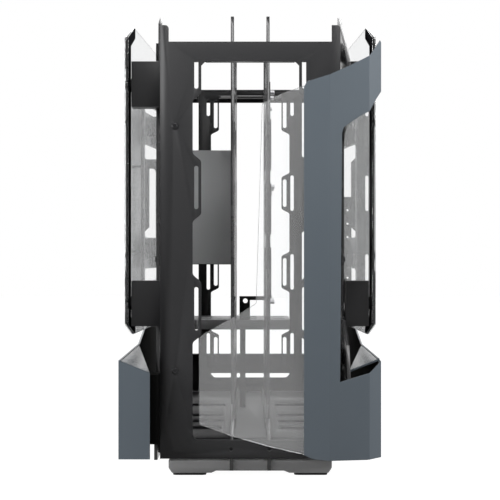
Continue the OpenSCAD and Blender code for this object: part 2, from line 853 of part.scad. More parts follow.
// Side cover: an upright wall, level and then rising to the back, and a facet that leans
// inwards, full at its front, lap behind y0, and running out at facet_back
module side_cover(y0, lap) {
    lean = atan(facet_drop / (half_w - cover_in));
    facet_w = (half_w - cover_in) / cos(lean);
    side_plate(half_w - cover_t, cover_t) polygon([
        [y0, cover_z], [y0, side_cover_z], [facet_back, side_cover_z],
        [364, side_cover_z + 16.5], [489, side_cover_z + 79], [back_depth, side_cover_z + 87],
        [back_depth, cover_z]]);
    translate([half_w, 0, side_cover_z]) rotate([0, -lean, 0]) translate([0, 0, -cover_t])
        linear_extrude(cover_t)
            polygon([[-1, y0 + lap], [-facet_w, y0 + lap], [-1, facet_back]]);
}

module side_cover_right() {
    color(slate) placed() side_cover(0, 0);
}

module side_cover_left() {
    color(slate) placed() mirror([1, 0, 0]) {
        side_cover(left_cover_face, 2);
        face_plate(left_cover_face, cover_t) polygon([
            [half_w - cover_t / 2, cover_z], [half_w - cover_t / 2, side_cover_z - 1],
            [cover_in - 0.5, side_cover_z - facet_drop - 1], [cover_in - 0.5, cover_z]]);
    }
}

// Black box between the left side cover and the fan plate
module side_cover_bracket() {
    color(black) placed()
        block(-cover_in, -plate_half, left_cover_face + 4, 20, 45, side_cover_z - 17);
}

// Arms that carry the side covers on the outer ribs
module side_cover_arms() {
    color(dark) placed()
        for (side = [-1, 1], y = [140, 420, 600])
            block(side > 0 ? outer_rib_out : cover_t + fit - half_w,
                side > 0 ? half_w - cover_t - fit : -outer_rib_out, y, y + 24, 50, 53);
}

// Ports and buttons

module port_housing() {
    color(black) placed() difference() {
        block(port_x0, port_x1, port_y0, port_y1, port_top - port_h, port_top);
        for (b = [[power_y, power_d], [reset_y, reset_d]]) {
            translate([button_x, b[0], port_top - 8]) cylinder(h = 9, d = b[1] + 2 * fit);
            translate([button_x, b[0], port_top - port_h + 4]) cylinder(h = 12, d = b[1] - 1);
        }
        for (y = [14, 31])
            block(button_x - 7, button_x + 7, y, y + 6.6, port_top - 12, port_top + 1);
        block(button_x - 4.6, button_x + 4.6, 46, 49.4, port_top - 12, port_top + 1);
    }
}

// Metal shells and tongues of the ports
module port_inserts() {
    color(steel) placed() {
        for (y = [14, 31])
            difference() {
                block(button_x - 7, button_x + 7, y, y + 6.6, port_top - 12, port_top - 0.2);
                block(button_x - 6.4, button_x + 6.4, y + 0.6, y + 3.2, port_top - 10, port_top);
                block(button_x - 6.4, button_x + 6.4, y + 4.6, y + 6, port_top - 10, port_top);
            }
        difference() {
            block(button_x - 4.6, button_x + 4.6, 46, 49.4, port_top - 12, port_top - 0.2);
            block(button_x - 4, button_x + 4, 46.6, 48.8, port_top - 9, port_top);
        }
    }
}

// A round button with a lip-free cap, standing proud of the housing by its travel
module push_button(y, d) {
    translate([button_x, y, port_top - 8 + button_travel + fit])
        cylinder(h = 8 + fit, d = d);
}

module power_button() {
    color(steel) placed() push_button(power_y, power_d);
}

module reset_button() {
    color(steel) placed() push_button(reset_y, reset_d);
}

// Countersunk heads in the face of the fan plate
module frame_screws() {
    color(steel) placed()
        for (side = [-1, 1], z = plate_screw_heights) {
            depth_rod(side * plate_screw_x, z, -1.2, 0, 3.9);
            depth_rod(side * plate_screw_x, z, 0, 8, screw_r - 0.1);
        }
}

front_fan_plate();
outer_rib_left();
outer_rib_right();
inner_rib_left();
inner_rib_right();
rear_fan_bracket();
rear_top_shelf();
rear_lower_panel();
top_cross_bar();
base_bar_front();
base_bar_rear();
front_foot_bar();
rear_foot_bar();
front_foot_pads();
rear_foot_pads();
rib_spacers();
floor_tray_left();
floor_tray_middle();
floor_tray_right();
supply_shelf_left();
supply_shelf_middle();
supply_shelf_right();
drive_bracket();
bracket_post();
cable_cover();
cable_cover_brackets();
motherboard_tray();
motherboard_spacers();
card_rail();
supply_bracket();
glass_left();
glass_right();
glass_blocks_left();
glass_blocks_right();
glass_caps_left();
glass_caps_right();
front_glass();
front_glass_spacers();
front_cover();
side_cover_left();
side_cover_right();
side_cover_bracket();
side_cover_arms();
port_housing();
port_inserts();
power_button();
reset_button();
frame_screws();
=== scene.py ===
import json
import math

import bmesh
import bpy
from mathutils import Matrix, Vector


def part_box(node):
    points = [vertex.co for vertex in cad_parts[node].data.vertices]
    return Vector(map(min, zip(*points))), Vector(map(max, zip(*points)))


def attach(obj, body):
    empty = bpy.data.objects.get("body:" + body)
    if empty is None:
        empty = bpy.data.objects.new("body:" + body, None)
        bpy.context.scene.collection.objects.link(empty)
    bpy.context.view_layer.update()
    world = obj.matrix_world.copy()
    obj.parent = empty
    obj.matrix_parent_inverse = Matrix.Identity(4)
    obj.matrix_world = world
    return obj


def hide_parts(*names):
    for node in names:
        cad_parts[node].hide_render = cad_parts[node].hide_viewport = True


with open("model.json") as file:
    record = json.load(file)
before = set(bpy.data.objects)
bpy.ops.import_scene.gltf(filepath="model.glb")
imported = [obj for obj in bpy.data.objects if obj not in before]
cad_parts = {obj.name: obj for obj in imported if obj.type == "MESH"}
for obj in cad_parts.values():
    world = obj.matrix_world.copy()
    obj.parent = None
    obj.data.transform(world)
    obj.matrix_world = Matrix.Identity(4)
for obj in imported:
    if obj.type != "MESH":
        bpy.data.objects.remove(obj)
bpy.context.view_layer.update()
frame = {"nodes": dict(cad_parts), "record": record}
scene = bpy.context.scene
mm = 0.001
plateFace = -317.5  # the frame's Y of the front fan plate's face, in mm
print("frame loaded:", len(frame["nodes"]), "nodes")


def fromPlate(depth):  # depth behind the front fan plate, in mm, to the frame's Y in metres
    return (depth + plateFace) * mm


# camera

cameraLook = {"place": (0.0, -1.9675, 0.266), "lens": 102.89, "sensor": 36.0, "shiftX": -0.0004,
              "near": 0.05, "far": 50.0}


def addCamera(look):
    data = bpy.data.cameras.new("photoCamera")
    data.lens = look["lens"]
    data.sensor_width = look["sensor"]
    data.shift_x = look["shiftX"]
    data.clip_start = look["near"]
    data.clip_end = look["far"]
    camera = bpy.data.objects.new("photoCamera", data)
    camera.location = look["place"]
    camera.rotation_euler = (math.radians(90), 0, 0)
    scene.collection.objects.link(camera)
    scene.camera = camera


addCamera(cameraLook)
print("camera placed")


# shader groups

# socket numbers of a Mix node, for colours and for plain values
mixSockets = {"RGBA": {"share": 0, "first": 6, "second": 7, "result": 2},
              "FLOAT": {"share": 0, "first": 2, "second": 3, "result": 0}}


def startGroup(name, inputs, outputs):
    tree = bpy.data.node_groups.new(name, "ShaderNodeTree")
    for label, kind, value in inputs:
        socket = tree.interface.new_socket(name=label, in_out="INPUT", socket_type=kind)
        socket.default_value = value
    for label, kind in outputs:
        tree.interface.new_socket(name=label, in_out="OUTPUT", socket_type=kind)
    return tree, tree.nodes.new("NodeGroupInput"), tree.nodes.new("NodeGroupOutput")


def addNode(tree, kind, **values):
    node = tree.nodes.new(kind)
    for key, value in values.items():
        if key in node.inputs:
            node.inputs[key].default_value = value
        else:
            setattr(node, key, value)
    return node


def addNoise(tree, vector, **values):
    noise = addNode(tree, "ShaderNodeTexNoise", **values)
    tree.links.new(vector, noise.inputs["Vector"])
    return noise


def mapRange(tree, source, low, high, toLow=0.0, toHigh=1.0):
    node = addNode(tree, "ShaderNodeMapRange")
    tree.links.new(source, node.inputs["Value"])
    for label, value in (("From Min", low), ("From Max", high), ("To Min", toLow), ("To Max", toHigh)):
        node.inputs[label].default_value = value
    return node.outputs["Result"]


def mixPair(tree, kind, share, first, second):
    sockets = mixSockets[kind]
    mix = addNode(tree, "ShaderNodeMix", data_type=kind)
    tree.links.new(share, mix.inputs[sockets["share"]])
    tree.links.new(first, mix.inputs[sockets["first"]])
    tree.links.new(second, mix.inputs[sockets["second"]])
    return mix.outputs[sockets["result"]]


def buildPowderCoat():
    # baked powder paint: orange peel, cloudy tone and duller patches where hands rest
    floatKind, colourKind = "NodeSocketFloat", "NodeSocketColor"
    tree, given, put = startGroup("powderCoat", [
        ("Color", colourKind, (0.1, 0.1, 0.1, 1)), ("Cloud Color", colourKind, (0.12, 0.12, 0.12, 1)),
        ("Peel Scale", floatKind, 700.0), ("Roughness", floatKind, 0.4),
        ("Roughness Spread", floatKind, 0.08)],
        [("Color", colourKind), ("Roughness", floatKind), ("Height", floatKind)])
    place = addNode(tree, "ShaderNodeTexCoord").outputs["Object"]
    peel = addNoise(tree, place, Detail=2.0)
    cloud = addNoise(tree, place, Scale=9.0, Detail=4.0, Roughness=0.6)
    smear = addNoise(tree, place, Scale=26.0, Detail=5.0, Roughness=0.7)
    tree.links.new(given.outputs["Peel Scale"], peel.inputs["Scale"])
    share = mapRange(tree, cloud.outputs["Fac"], low=0.35, high=0.68)
    tone = mixPair(tree, "RGBA", share, given.outputs["Color"], given.outputs["Cloud Color"])
    spread = addNode(tree, "ShaderNodeMath", operation="MULTIPLY_ADD")
    centred = mapRange(tree, smear.outputs["Fac"], low=0.3, high=0.7, toLow=-0.5, toHigh=0.5)
    tree.links.new(centred, spread.inputs[0])
    tree.links.new(given.outputs["Roughness Spread"], spread.inputs[1])
    tree.links.new(given.outputs["Roughness"], spread.inputs[2])
    tree.links.new(tone, put.inputs["Color"])
    tree.links.new(spread.outputs[0], put.inputs["Roughness"])
    tree.links.new(peel.outputs["Fac"], put.inputs["Height"])
    return tree


def buildBrushedGrain():
    # fine lines left by brushing or rolling, along the width, the depth or the height
    lineRoughness = 0.12  # how much rougher the tops of the lines are
    floatKind, colourKind = "NodeSocketFloat", "NodeSocketColor"
    tree, given, put = startGroup("brushedGrain", [
        ("Color", colourKind, (0.5, 0.5, 0.5, 1)), ("Line Color", colourKind, (0.4, 0.4, 0.4, 1)),
        ("Stretch", "NodeSocketVector", (20.0, 900.0, 900.0)), ("Roughness", floatKind, 0.3)],
        [("Color", colourKind), ("Roughness", floatKind), ("Height", floatKind)])
    place = addNode(tree, "ShaderNodeTexCoord")
    scale = addNode(tree, "ShaderNodeVectorMath", operation="MULTIPLY")
    tree.links.new(place.outputs["Object"], scale.inputs[0])
    tree.links.new(given.outputs["Stretch"], scale.inputs[1])
    lines = addNoise(tree, scale.outputs[0], Scale=1.0, Detail=3.0)
    share = mapRange(tree, lines.outputs["Fac"], low=0.3, high=0.7)
    tone = mixPair(tree, "RGBA", share, given.outputs["Color"], given.outputs["Line Color"])
    spread = addNode(tree, "ShaderNodeMath", operation="MULTIPLY_ADD")
    tree.links.new(share, spread.inputs[0])
    spread.inputs[1].default_value = lineRoughness
    tree.links.new(given.outputs["Roughness"], spread.inputs[2])
    tree.links.new(tone, put.inputs["Color"])
    tree.links.new(spread.outputs[0], put.inputs["Roughness"])
    tree.links.new(lines.outputs["Fac"], put.inputs["Height"])
    return tree


def buildGlassFilm():
    # faint wiping marks on glass: a film tone and a change in how sharp the surface is
    floatKind, colourKind = "NodeSocketFloat", "NodeSocketColor"
    tree, given, put = startGroup("glassFilm", [
        ("Color", colourKind, (0.9, 0.9, 0.9, 1)), ("Film Color", colourKind, (0.8, 0.8, 0.8, 1)),
        ("Sharp", floatKind, 0.02), ("Wiped", floatKind, 0.07)],
        [("Color", colourKind), ("Roughness", floatKind)])
    place = addNode(tree, "ShaderNodeTexCoord").outputs["Object"]
    wipes = addNoise(tree, place, Scale=7.0, Detail=6.0, Roughness=0.65, Distortion=1.2)
    share = mapRange(tree, wipes.outputs["Fac"], low=0.4, high=0.75)
    tone = mixPair(tree, "RGBA", share, given.outputs["Color"], given.outputs["Film Color"])
    sharp = mixPair(tree, "FLOAT", share, given.outputs["Sharp"], given.outputs["Wiped"])
    tree.links.new(tone, put.inputs["Color"])
    tree.links.new(sharp, put.inputs["Roughness"])
    return tree


powderCoat = buildPowderCoat()
brushedGrain = buildBrushedGrain()
glassFilm = buildGlassFilm()
print("shader groups built")


# materials

def startMaterial(name):
    material = bpy.data.materials.new(name)
    material.use_nodes = True
    tree = material.node_tree
    return material, tree, tree.nodes["Principled BSDF"]


def addBump(tree, shader, height, strength, distance):
    bump = addNode(tree, "ShaderNodeBump", Strength=strength, Distance=distance)
    tree.links.new(height, bump.inputs["Height"])
    tree.links.new(bump.outputs["Normal"], shader.inputs["Normal"])


def paintedMetal(name, look):
    material, tree, shader = startMaterial(name)
    coat = addNode(tree, "ShaderNodeGroup", node_tree=powderCoat)
    coat.inputs["Color"].default_value = (*look["color"], 1)
    coat.inputs["Cloud Color"].default_value = (*look["cloud"], 1)
    coat.inputs["Peel Scale"].default_value = look["peel"]
    coat.inputs["Roughness"].default_value = look["rough"]
    coat.inputs["Roughness Spread"].default_value = look["spread"]
    tree.links.new(coat.outputs["Color"], shader.inputs["Base Color"])
    tree.links.new(coat.outputs["Roughness"], shader.inputs["Roughness"])
    shader.inputs["Specular IOR Level"].default_value = look["gloss"]
    addBump(tree, shader, coat.outputs["Height"], strength=look["bump"], distance=0.0002)
    material.diffuse_color = (*look["color"], 1)
    return material


def brushedMetal(name, look):
    material, tree, shader = startMaterial(name)
    grain = addNode(tree, "ShaderNodeGroup", node_tree=brushedGrain)
    grain.inputs["Color"].default_value = (*look["color"], 1)
    grain.inputs["Line Color"].default_value = (*look["lines"], 1)
    grain.inputs["Stretch"].default_value = look["stretch"]
    grain.inputs["Roughness"].default_value = look["rough"]
    tree.links.new(grain.outputs["Color"], shader.inputs["Base Color"])
    tree.links.new(grain.outputs["Roughness"], shader.inputs["Roughness"])
    shader.inputs["Metallic"].default_value = look["metal"]
    addBump(tree, shader, grain.outputs["Height"], strength=0.15, distance=0.0001)
    material.diffuse_color = (*look["color"], 1)
    return material


def clearGlass(name, look):
    material, tree, shader = startMaterial(name)
    film = addNode(tree, "ShaderNodeGroup", node_tree=glassFilm)
    film.inputs["Color"].default_value = (*look["color"], 1)
    film.inputs["Film Color"].default_value = (*look["film"], 1)
    film.inputs["Sharp"].default_value = look["sharp"]
    film.inputs["Wiped"].default_value = look["wiped"]
    tree.links.new(film.outputs["Color"], shader.inputs["Base Color"])
    tree.links.new(film.outputs["Roughness"], shader.inputs["Roughness"])
    shader.inputs["IOR"].default_value = 1.5
    shader.inputs["Metallic"].default_value = 0.0
    shader.inputs["Transmission Weight"].default_value = look["through"]
    material.diffuse_color = (*look["color"], 0.4)
    return material


paints = {
    "frame_black": {"color": (0.019, 0.019, 0.020), "cloud": (0.021, 0.021, 0.022), "peel": 900,
                    "rough": 0.42, "spread": 0.05, "gloss": 0.18, "bump": 0.2},
    # darker copy of frame_black for the parts in its slot, the rear fan bracket among them: painted shade
    "bracket_black": {"color": (0.008, 0.008, 0.0085), "cloud": (0.011, 0.011, 0.0115), "peel": 900,
                      "rough": 0.45, "spread": 0.08, "gloss": 0.20, "bump": 0.2},
    "rib_sheen": {"color": (0.012, 0.012, 0.013), "cloud": (0.016, 0.016, 0.017), "peel": 900,
                  "rough": 0.26, "spread": 0.08, "gloss": 0.45, "bump": 0.1},
    # near-black that stands in for shade in hollows and inside the covers: painted shade
    "shaded_black": {"color": (0.003, 0.003, 0.003), "cloud": (0.004, 0.004, 0.004), "peel": 900,
                     "rough": 0.8, "spread": 0.08, "gloss": 0.02, "bump": 0.2},
    # lighter, glossier copy of cover_slate for the leaning facets that face up: a painted sheen
    "slate_sheen": {"color": (0.085, 0.100, 0.115), "cloud": (0.090, 0.105, 0.120), "peel": 850,
                    "rough": 0.2, "spread": 0.02, "gloss": 0.45, "bump": 0.02},
    "foot_metal": {"color": (0.24, 0.24, 0.242), "cloud": (0.245, 0.245, 0.247), "peel": 900,
                   "rough": 0.42, "spread": 0.02, "gloss": 0.8, "bump": 0.05},
    "foot_rubber": {"color": (0.012, 0.012, 0.012), "cloud": (0.02, 0.02, 0.02), "peel": 1400,
                    "rough": 0.8, "spread": 0.1, "gloss": 0.3, "bump": 0.5},
    "tray_metal": {"color": (0.028, 0.028, 0.030), "cloud": (0.031, 0.031, 0.033), "peel": 900,
                   "rough": 0.5, "spread": 0.05, "gloss": 0.18, "bump": 0.25},
    "panel_grey": {"color": (0.20, 0.20, 0.203), "cloud": (0.21, 0.21, 0.213), "peel": 800,
                   "rough": 0.45, "spread": 0.10, "gloss": 0.4, "bump": 0.25},
    "block_black": {"color": (0.007, 0.007, 0.0075), "cloud": (0.009, 0.009, 0.0095), "peel": 1100,
                    "rough": 0.38, "spread": 0.05, "gloss": 0.18, "bump": 0.15},
    "cover_slate": {"color": (0.077, 0.092, 0.107), "cloud": (0.081, 0.096, 0.111), "peel": 850,
                    "rough": 0.34, "spread": 0.04, "gloss": 0.14, "bump": 0.2},
    "housing_plastic": {"color": (0.02, 0.02, 0.021), "cloud": (0.025, 0.025, 0.026), "peel": 1800,
                        "rough": 0.55, "spread": 0.06, "gloss": 0.5, "bump": 0.5},
}
metals = {
    "shelf_metal": {"color": (0.15, 0.15, 0.153), "lines": (0.18, 0.18, 0.183),
                    "stretch": (15.0, 700.0, 700.0), "rough": 0.46, "metal": 0.45},
    "bright_steel": {"color": (0.58, 0.58, 0.60), "lines": (0.66, 0.66, 0.68),
                     "stretch": (900.0, 60.0, 60.0), "rough": 0.25, "metal": 1.0},
    "port_steel": {"color": (0.55, 0.55, 0.57), "lines": (0.62, 0.62, 0.64),
                   "stretch": (60.0, 60.0, 900.0), "rough": 0.28, "metal": 1.0},
    "button_metal": {"color": (0.30, 0.31, 0.33), "lines": (0.38, 0.39, 0.41),
                     "stretch": (30.0, 900.0, 30.0), "rough": 0.28, "metal": 1.0},
    "screw_black": {"color": (0.012, 0.012, 0.013), "lines": (0.02, 0.02, 0.021),
                    "stretch": (500.0, 500.0, 60.0), "rough": 0.26, "metal": 0.8},
}
glasses = {
    "side_glass": {"color": (0.80, 0.81, 0.815), "film": (0.79, 0.80, 0.806), "sharp": 0.0, "wiped": 0.0,
                   "through": 1.0},
    "front_glass": {"color": (0.97, 0.975, 0.98), "film": (0.96, 0.965, 0.97), "sharp": 0.0, "wiped": 0.0,
                    "through": 0.945},
}
groundLook = {"color": (0.95, 0.96, 0.965), "film": (0.93, 0.94, 0.945), "sharp": 0.45, "wiped": 0.55,
              "through": 0.0}
frontEdgeLook = {"color": (0.97, 0.975, 0.98), "film": (0.96, 0.965, 0.97), "sharp": 0.10, "wiped": 0.15,
                 "through": 0.9}
arrisLook = {"color": (0.20, 0.21, 0.215), "film": (0.18, 0.19, 0.195), "sharp": 0.3, "wiped": 0.4,
             "through": 0.0}
printLook = {"color": (0.010, 0.010, 0.011), "cloud": (0.012, 0.012, 0.013), "peel": 2500,
             "rough": 0.8, "spread": 0.05, "gloss": 0.0, "bump": 0.05}
tongueLook = {"color": (0.02, 0.05, 0.22), "cloud": (0.025, 0.06, 0.25), "peel": 1800,
              "rough": 0.5, "spread": 0.05, "gloss": 0.5, "bump": 0.2}
contactLook = {"color": (0.75, 0.55, 0.22), "lines": (0.80, 0.62, 0.30),
               "stretch": (60.0, 60.0, 900.0), "rough": 0.25, "metal": 1.0}

finish = {}
for slotName, look in paints.items():
    finish[slotName] = paintedMetal(slotName, look)
for slotName, look in metals.items():
    finish[slotName] = brushedMetal(slotName, look)
for slotName, look in glasses.items():
    finish[slotName] = clearGlass(slotName, look)
groundEdge = clearGlass("ground_edge", groundLook)
frontEdge = clearGlass("front_edge", frontEdgeLook)
edgeArris = clearGlass("edge_arris", arrisLook)
printBlack = paintedMetal("print_black", printLook)
tonguePlastic = paintedMetal("tongue_plastic", tongueLook)
contactGold = brushedMetal("contact_gold", contactLook)
print("materials ready:", len(bpy.data.materials))


# CAD nodes keep their shape and get softened edges and finishes

# lengths in mm, angles in degrees
softEdge = {"weld": 0.01, "flatAngle": 0.6, "segments": 2, "radius": 0.35, "angle": 32}
# radius in mm and the least angle in degrees, where a node differs from softEdge
edgeSoftness = {
    "front_cover": (0.8, 8), "side_cover_left": (0.8, 8), "side_cover_right": (0.8, 8),
    "front_fan_plate": (0.4, 32), "cable_cover": (0.5, 32), "front_foot_bar": (0.8, 25),
    "rear_foot_bar": (0.8, 25), "glass_blocks_left": (1.4, 32), "glass_blocks_right": (1.4, 32),
    "power_button": (0.6, 40), "reset_button": (0.4, 40), "port_housing": (0.5, 32),
}
# nodes that don't have the finish of their own slot
ownFinish = {
    "inner_rib_left": "rib_sheen", "inner_rib_right": "rib_sheen",
    "outer_rib_left": "rib_sheen", "outer_rib_right": "rib_sheen",
    # the side cover's bracket and arms sit in the hollow and get near-black as painted shade
    "side_cover_bracket": "shaded_black", "side_cover_arms": "shaded_black",
}
# folded covers, True where faces at the back look into the case
hollowCovers = {"front_cover": True, "side_cover_left": False, "side_cover_right": False}
# how far a cover's face has to turn, and where it has to lie, to be an inner one or a leaning facet
coverFaces = {"innerTurn": 0.7, "innerX": 0.1, "backTurn": 0.6, "backY": -0.32, "underTurn": 0.6,
              "underZ": 0.09, "facetUp": 0.6, "facetTurn": (0.2, 0.7)}


def softenEdges(node, radius, angle):
    weld = node.modifiers.new("joinCorners", "WELD")
    weld.merge_threshold = softEdge["weld"] * mm
    flat = node.modifiers.new("flatFaces", "DECIMATE")
    flat.decimate_type = "DISSOLVE"
    flat.angle_limit = math.radians(softEdge["flatAngle"])
    bevel = node.modifiers.new("edgeRound", "BEVEL")
    bevel.width = radius * mm
    bevel.segments = softEdge["segments"]
    bevel.limit_method = "ANGLE"
    bevel.angle_limit = math.radians(angle)
    bevel.harden_normals = True


def shadeInside(node, look, openBack):
    # sheet faces that look into the case or face down get a near-black finish as painted shade, the leaning
    # facets that face up get a lighter, glossier slate as a painted sheen
    node.data.materials.append(finish["shaded_black"])
    node.data.materials.append(finish["slate_sheen"])
    leastTurn, mostTurn = look["facetTurn"]
    for face in node.data.polygons:
        facing, centre = face.normal, face.center
        inwards = facing.x * centre.x < 0 and abs(facing.x) > look["innerTurn"]
        inner = inwards and abs(centre.x) > look["innerX"]
        back = openBack and facing.y > look["backTurn"] and centre.y < look["backY"]
        under = facing.z < -look["underTurn"] and centre.z > look["underZ"]
        # faces inside the case or facing down: painted shade
        if inner or back or under:
            face.material_index = 1
        # leaning facets that face up: a lighter, glossier slate, a painted sheen
        elif facing.z > look["facetUp"] and leastTurn < abs(facing.x) < mostTurn:
            face.material_index = 2


for part in frame["record"]["subparts"]:
    node = frame["nodes"][part["node"]]
    node.data.materials.clear()
    node.data.materials.append(finish[ownFinish.get(part["node"], part["material_slot"])])
    if part["node"] in hollowCovers:
        shadeInside(node, coverFaces, hollowCovers[part["node"]])
    for face in node.data.polygons:
        face.use_smooth = part["node"] not in hollowCovers
    radius, angle = edgeSoftness.get(part["node"], (softEdge["radius"], softEdge["angle"]))
    softenEdges(node, radius, angle)
print("frame nodes dressed")


# shape helpers

cornerShare = 0.45  # most of a side that one rounded corner takes up
knurlDepth = 0.035  # as a share of the radius


def roundCorners(corners, radius, steps=5):
    outline = []
    for i, corner in enumerate(corners):
        corner = Vector(corner)
        before = Vector(corners[i - 1]) - corner
        after = Vector(corners[(i + 1) % len(corners)]) - corner
        reach = min(radius / math.tan(before.angle(after) / 2),
                    cornerShare * before.length, cornerShare * after.length)
        start = corner + before.normalized() * reach
        end = corner + after.normalized() * reach
        for k in range(steps + 1):
            t = k / steps
            outline.append(tuple((1 - t) ** 2 * start + 2 * t * (1 - t) * corner + t * t * end))
    return outline


def circleOutline(centre, radius, steps):
    return [(centre[0] + radius * math.cos(2 * math.pi * k / steps),
             centre[1] + radius * math.sin(2 * math.pi * k / steps)) for k in range(steps)]


def rectangle(u0, v0, u1, v1, inset=0.0):
    return [(u0 + inset, v0 + inset), (u1 - inset, v0 + inset),
            (u1 - inset, v1 - inset), (u0 + inset, v1 - inset)]


def cutPlate(name, outlines, thickness, chamfer):
    # flat plate from closed outlines in mm, with holes and a small chamfer on every edge
    curve = bpy.data.curves.new(name, "CURVE")
    curve.dimensions = "2D"
    curve.fill_mode = "BOTH"
    curve.extrude = (thickness / 2 - chamfer) * mm
    curve.bevel_depth = chamfer * mm
    curve.bevel_resolution = 0
    curve.offset = -chamfer * mm
    for outline in outlines:
        spline = curve.splines.new("POLY")
        spline.points.add(len(outline) - 1)
        for point, (u, v) in zip(spline.points, outline):
            point.co = (u * mm, v * mm, 0, 1)
        spline.use_cyclic_u = True
    holder = bpy.data.objects.new(name + "Curve", curve)
    scene.collection.objects.link(holder)
    bpy.context.view_layer.update()
    mesh = bpy.data.meshes.new_from_object(holder.evaluated_get(bpy.context.evaluated_depsgraph_get()))
    bpy.data.objects.remove(holder)
    mesh.name = name
    return mesh


def putPiece(name, mesh, materials, replaced=()):
    mesh.materials.clear()
    for material in materials:
        mesh.materials.append(material)
    piece = bpy.data.objects.new(name, mesh)
    scene.collection.objects.link(piece)
    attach(piece, "frame")
    if replaced:
        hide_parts(*replaced)


def standAcross(x):  # plate drawn as (depth, height) stands square to the width, middle at x
    return Matrix(((0, 0, 1, x * mm), (1, 0, 0, fromPlate(0)), (0, 1, 0, 0), (0, 0, 0, 1)))


def standFront(depth):  # plate drawn as (x, height) stands square to the depth, middle at that depth
    return Matrix(((1, 0, 0, 0), (0, 0, -1, fromPlate(depth)), (0, 1, 0, 0), (0, 0, 0, 1)))


def standFlat(z):  # plate drawn as (x, depth) lies level, middle at that height
    return Matrix(((1, 0, 0, 0), (0, 1, 0, fromPlate(0)), (0, 0, 1, z * mm), (0, 0, 0, 1)))


def joinPlates(name, plates):
    # plates: (outlines, thickness, chamfer, matrix, material index)
    bm = bmesh.new()
    for outlines, thickness, chamfer, matrix, material in plates:
        mesh = cutPlate(name + "Part", outlines, thickness, chamfer)
        mesh.transform(matrix)
        start = len(bm.faces)
        bm.from_mesh(mesh)
        bm.faces.ensure_lookup_table()
        for face in bm.faces[start:]:
            face.material_index = material
        bpy.data.meshes.remove(mesh)
    joined = bpy.data.meshes.new(name)
    bm.to_mesh(joined)
    bm.free()
    return joined


def addTurned(bm, centre, axis, profile, segments):
    # turned shape: profile rows are (radius, height, shape), shape is "round", "hex" or "knurl"
    turn = Vector(axis).to_track_quat("Z", "Y").to_matrix()
    rings = []
    for radius, height, shape in profile:
        ring = []
        for k in range(segments):
            angle = 2 * math.pi * k / segments
            r = radius
            if shape == "hex":
                r = radius * math.cos(math.pi / 6) / math.cos((angle % (math.pi / 3)) - math.pi / 6)
            elif shape == "knurl":
                r = radius * (1 - knurlDepth * (k % 2))
            local = Vector((r * math.cos(angle), r * math.sin(angle), height))
            ring.append(bm.verts.new((Vector(centre) + turn @ local) * mm))
        rings.append(ring)
    for low, high in zip(rings, rings[1:]):
        for k in range(segments):
            bm.faces.new((low[k], low[(k + 1) % segments], high[(k + 1) % segments], high[k]))
    bm.faces.new(list(reversed(rings[0])))
    bm.faces.new(rings[-1])


def finishTurned(bm, name, smoothAngle=40):
    mesh = bpy.data.meshes.new(name)
    bm.normal_update()
    bm.to_mesh(mesh)
    bm.free()
    for face in mesh.polygons:
        face.use_smooth = True
    mesh.set_sharp_from_angle(angle=math.radians(smoothAngle))
    return mesh


def inFrame(x, depth, z):  # a point of a turned shape, in mm, with its depth from the front fan plate
    return (x, depth + plateFace, z)


# glass

sideGlass = {
    "thickness": 4.0, "inner": 144.7, "front": 43.0, "toe": math.radians(2.8), "corner": 4.0, "chamfer": 0.5,
    "outline": [(43, 177), (43, 518), (102, 538.5), (393, 538.5), (489, 512.5), (489, 242), (340, 163),
                (99, 163)],
    "holes": [(60, 463), (60, 202.5), (424, 436.8), (424, 261.8)], "holeRadius": 4.5, "holeSteps": 32,
}


def toedSpot(sign, depth, out):  # x and depth of a point of a side glass, out mm from its inner face
    cos, sin = math.cos(sideGlass["toe"]), math.sin(sideGlass["toe"])
    along = depth - sideGlass["front"]
    return sign * (sideGlass["inner"] + out * cos - along * sin), sideGlass["front"] + out * sin + along * cos


def standToed(sign, out):  # plate drawn as (depth, height) lies along a side glass
    cos, sin = math.cos(sideGlass["toe"]), math.sin(sideGlass["toe"])
    x, depth = toedSpot(sign, 0.0, out)
    return Matrix(((-sign * sin, 0, cos, x * mm), (cos, 0, sign * sin, fromPlate(depth)),
                   (0, 1, 0, 0), (0, 0, 0, 1)))


# how closely a face has to point along the largest one to be a broad face, or else an arris
edgeLean = {"broad": 0.95, "arris": 0.3}


def markEdges(mesh, look):
    # material 0 on the two broad faces, 1 on the cut edges and 2 on the arrises between them
    largest = max(mesh.polygons, key=lambda face: face.area).normal.copy()
    for face in mesh.polygons:
        lean = abs(face.normal.dot(largest))
        face.material_index = 0 if lean > look["broad"] else 2 if lean > look["arris"] else 1


def addSideGlass(side, look, nodeName):
    name = "sideGlass" + side
    sign = -1 if side == "Left" else 1
    outlines = [roundCorners(look["outline"], look["corner"])]
    outlines += [circleOutline(hole, look["holeRadius"], look["holeSteps"]) for hole in look["holes"]]
    mesh = cutPlate(name, outlines, look["thickness"], look["chamfer"])
    mesh.transform(standToed(sign, look["thickness"] / 2))
    markEdges(mesh, edgeLean)
    putPiece(name, mesh, [finish["side_glass"], groundEdge, edgeArris], replaced=[nodeName])


printBand = {
    "thickness": 0.2, "gap": 0.1, "corner": 1.0, "cornerSteps": 3, "chamfer": 0.02,
    "outline": [(44, 177.4), (44, 517.4), (102, 537.6), (108, 537.6), (108, 526), (68, 511), (68, 186),
                (108, 174), (108, 163.8), (99, 163.8)],
}


def addPrintBand(side, look):
    # black border printed on the inner face along the front edge and its slanted corners
    sign = -1 if side == "Left" else 1
    outline = roundCorners(look["outline"], look["corner"], look["cornerSteps"])
    mesh = cutPlate("printBand" + side, [outline], look["thickness"], look["chamfer"])
    mesh.transform(standToed(sign, -look["thickness"] / 2 - look["gap"]))
    putPiece("printBand" + side, mesh, [printBlack])


